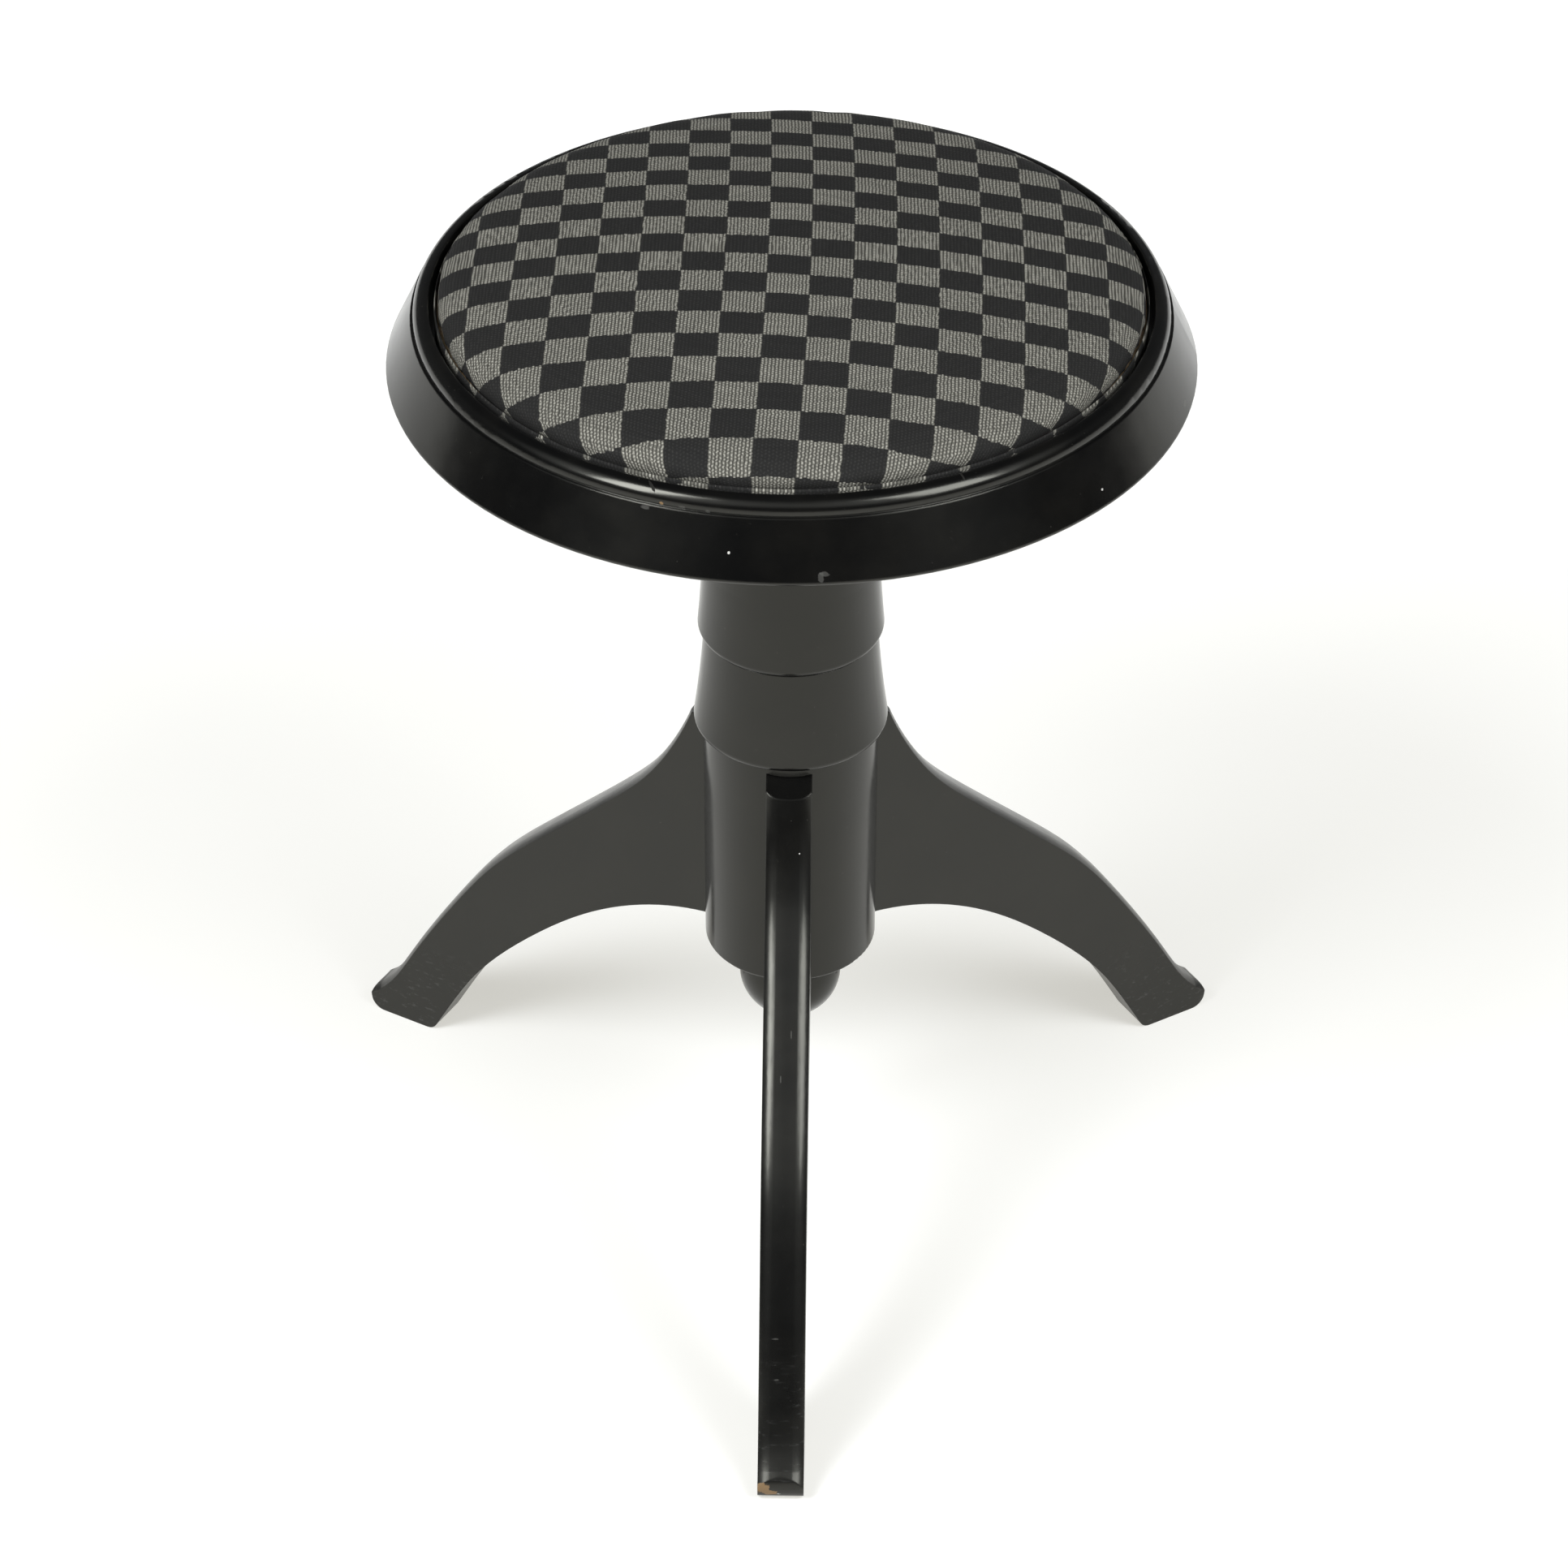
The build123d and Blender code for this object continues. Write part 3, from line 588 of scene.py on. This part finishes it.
def makeLacquer(name, worn=(), rubbed=0.0):
    # rubbed is the height in millimetres up to which feet and brooms have scratched it dull
    look = newLook(name)
    place = objectPlace(look)
    film = noise(look, place, lacquer["filmScale"], 4.0, 0.6)
    colour = blendColour(look, mapRange(look, film, 0.35, 0.75), lacquer["colour"], lacquer["dusty"])
    patches = noise(look, place, lacquer["patchScale"], 3.0)
    roughness = mapRange(look, patches, 0.3, 0.7, lacquer["gloss"], lacquer["dull"])
    if rubbed:
        low = mapRange(look, axes(look, place)["Z"], rubbed * mm, 0.2 * rubbed * mm)
        hazy = calc(look, "ADD", roughness, lacquer["haze"])
        roughness = calc(look, "MULTIPLY_ADD", low, lacquer["lowHaze"], hazy)
        strokes = noise(look, stretched(look, place, lacquer["strokeScale"]), 1.0, 4.0, 0.65)
        strokes = calc(look, "MULTIPLY", mapRange(look, strokes, 0.56, 0.72), low)
        strokes = calc(look, "MULTIPLY", strokes, lacquer["strokes"])
        colour = blendColour(look, strokes, colour, lacquer["strokeColour"])
    # fine dust and small dull flecks all over
    dust = mapRange(look, noise(look, place, lacquer["dustScale"], 2.0), 0.74, 0.8, 0.0, lacquer["dust"])
    colour = blendColour(look, dust, colour, lacquer["dustColour"])
    for kind, middle, half, turn in worn:
        way = wearKinds[kind]
        share = calc(look, "MULTIPLY", wornShare(look, place, middle, half, turn), way["share"])
        colour = blendColour(look, share, colour, way["colour"])
        change = calc(look, "SUBTRACT", way["roughness"], roughness)
        roughness = calc(look, "MULTIPLY_ADD", share, change, roughness)
    arris = addNode(look, "ShaderNodeBevel", {"Radius": lacquer["arris"] * mm}, samples=6).outputs["Normal"]
    waves = noise(look, place, lacquer["waveScale"], 2.0)
    waves = raised(look, waves, lacquer["waves"] * mm, 1.0, arris)
    plug(look, colour=colour, roughness=roughness, normal=waves)
    shaderOf(look).inputs["IOR"].default_value = lacquer["ior"]
    shaderOf(look).inputs["Specular Tint"].default_value = lacquer["tint"]
    return look


# Looks of what is mostly hidden
plainWood = {
    "pale": (0.62, 0.47, 0.3, 1),
    "dark": (0.4, 0.27, 0.15, 1),
    "pores": (0.22, 0.14, 0.08, 1),
    "grainScale": (6, 90, 90),
    "poreScale": (60, 1400, 1400),
    "poreDepth": 0.1,
    "roughness": 0.62,
}


def makePlainWood():
    look = newLook("plainWood")
    place = objectPlace(look)
    grain = noise(look, stretched(look, place, plainWood["grainScale"]), 1.0, 4.0, 0.6)
    colour = blendColour(look, mapRange(look, grain, 0.35, 0.65), plainWood["pale"], plainWood["dark"])
    pores = noise(look, stretched(look, place, plainWood["poreScale"]), 1.0, 2.0)
    colour = blendColour(look, mapRange(look, pores, 0.62, 0.7, 0.0, 0.6), colour, plainWood["pores"])
    plug(look, colour=colour, normal=raised(look, pores, plainWood["poreDepth"] * mm, 0.5))
    shaderOf(look).inputs["Roughness"].default_value = plainWood["roughness"]
    return look


castIron = {
    "colour": (0.055, 0.055, 0.058, 1),
    "bright": (0.13, 0.125, 0.12, 1),
    "gritScale": 700.0,
    "gritDepth": 0.25,
    "rust": (0.13, 0.06, 0.03, 1),
    "rustScale": 60.0,
    "rustShare": 0.7,
    # roughness of clean and of rusty iron
    "clean": 0.5,
    "rusty": 0.85,
    "metallic": 0.6,
}


def makeCastIron():
    look = newLook("castIron")
    place = objectPlace(look)
    grit = noise(look, place, castIron["gritScale"], 4.0, 0.6)
    colour = blendColour(look, mapRange(look, grit, 0.4, 0.7), castIron["colour"], castIron["bright"])
    rust = noise(look, place, castIron["rustScale"], 5.0, 0.65)
    rust = mapRange(look, rust, 0.56, 0.7, 0.0, castIron["rustShare"])
    colour = blendColour(look, rust, colour, castIron["rust"])
    roughness = mapRange(look, rust, 0.0, castIron["rustShare"], castIron["clean"], castIron["rusty"])
    pitted = raised(look, grit, castIron["gritDepth"] * mm, 0.7)
    plug(look, colour=colour, roughness=roughness, normal=pitted)
    shaderOf(look).inputs["Metallic"].default_value = castIron["metallic"]
    return look


oiledSteel = {
    "colour": (0.5, 0.5, 0.51, 1),
    "stain": (0.2, 0.17, 0.14, 1),
    "stainScale": 90.0,
    "stainShare": 0.75,
    # rings left by turning, and the roughness between and on them
    "ringScale": (200, 200, 4000),
    "ringDepth": 0.04,
    "smooth": 0.24,
    "rough": 0.4,
    "metallic": 0.95,
    # the spindle's screw thread
    "pitch": 6.0,
    "depth": 2.0,
}


def makeOiledSteel(name, threaded=False):
    look = newLook(name)
    place = objectPlace(look)
    stain = noise(look, place, oiledSteel["stainScale"], 5.0, 0.65)
    stain = mapRange(look, stain, 0.5, 0.72, 0.0, oiledSteel["stainShare"])
    colour = blendColour(look, stain, oiledSteel["colour"], oiledSteel["stain"])
    rings = noise(look, stretched(look, place, oiledSteel["ringScale"]), 1.0, 2.0)
    roughness = mapRange(look, rings, 0.3, 0.7, oiledSteel["smooth"], oiledSteel["rough"])
    normal = raised(look, rings, oiledSteel["ringDepth"] * mm, 0.5)
    if threaded:
        # round crests that climb one pitch in each turn about the seat's axis
        along = axes(look, place)
        share = calc(look, "DIVIDE", calc(look, "ARCTAN2", along["Y"], along["X"]), 2 * math.pi)
        climb = calc(look, "SUBTRACT", calc(look, "DIVIDE", along["Z"], oiledSteel["pitch"] * mm), share)
        crest = calc(look, "SINE", calc(look, "MULTIPLY", calc(look, "FRACT", climb), math.pi))
        normal = raised(look, crest, oiledSteel["depth"] * mm, 1.0, normal)
        colour = blendColour(look, mapRange(look, crest, 0.0, 0.6), oiledSteel["stain"], colour)
    plug(look, colour=colour, roughness=roughness, normal=normal)
    shaderOf(look).inputs["Metallic"].default_value = oiledSteel["metallic"]
    return look


pressedFelt = {
    "colour": (0.07, 0.13, 0.08, 1),
    "fibre": (0.16, 0.24, 0.17, 1),
    "fibreScale": 1500.0,
    "fibreDepth": 0.3,
    "roughness": 0.95,
}


def makePressedFelt():
    look = newLook("pressedFelt")
    place = objectPlace(look)
    fibres = noise(look, place, pressedFelt["fibreScale"], 5.0, 0.7)
    colour = blendColour(look, mapRange(look, fibres, 0.4, 0.7), pressedFelt["colour"], pressedFelt["fibre"])
    plug(look, colour=colour, normal=raised(look, fibres, pressedFelt["fibreDepth"] * mm, 0.8))
    shaderOf(look).inputs["Roughness"].default_value = pressedFelt["roughness"]
    return look


def finish(look, *nodes):
    for name in nodes:
        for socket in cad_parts[name].material_slots:
            socket.material = look


finish(makeLacquer("blackLacquer"), "column", "cuff", "finial", "seat_board")
finish(makeLacquer("legLacquer", rubbed=80.0), "leg_right", "leg_left")
finish(makeLacquer("wornRimLacquer", rimWear), "rim_ring")
finish(makeLacquer("wornLegLacquer", frontLegWear, 80.0), "leg_front")
finish(makePlainWood(), "pad_board", "leg_dowels")
finish(makeCastIron(), "nut_plate", "spindle_flange")
finish(makeOiledSteel("threadedSteel", threaded=True), "spindle")
steel = makeOiledSteel("oiledSteel")
finish(steel, "stop_washer", "stop_screw", "flange_pin", "nut_screws")
finish(steel, "flange_screws", "pad_screws", "cover_tacks")
finish(makePressedFelt(), "felt_washer")
print("looks ready")
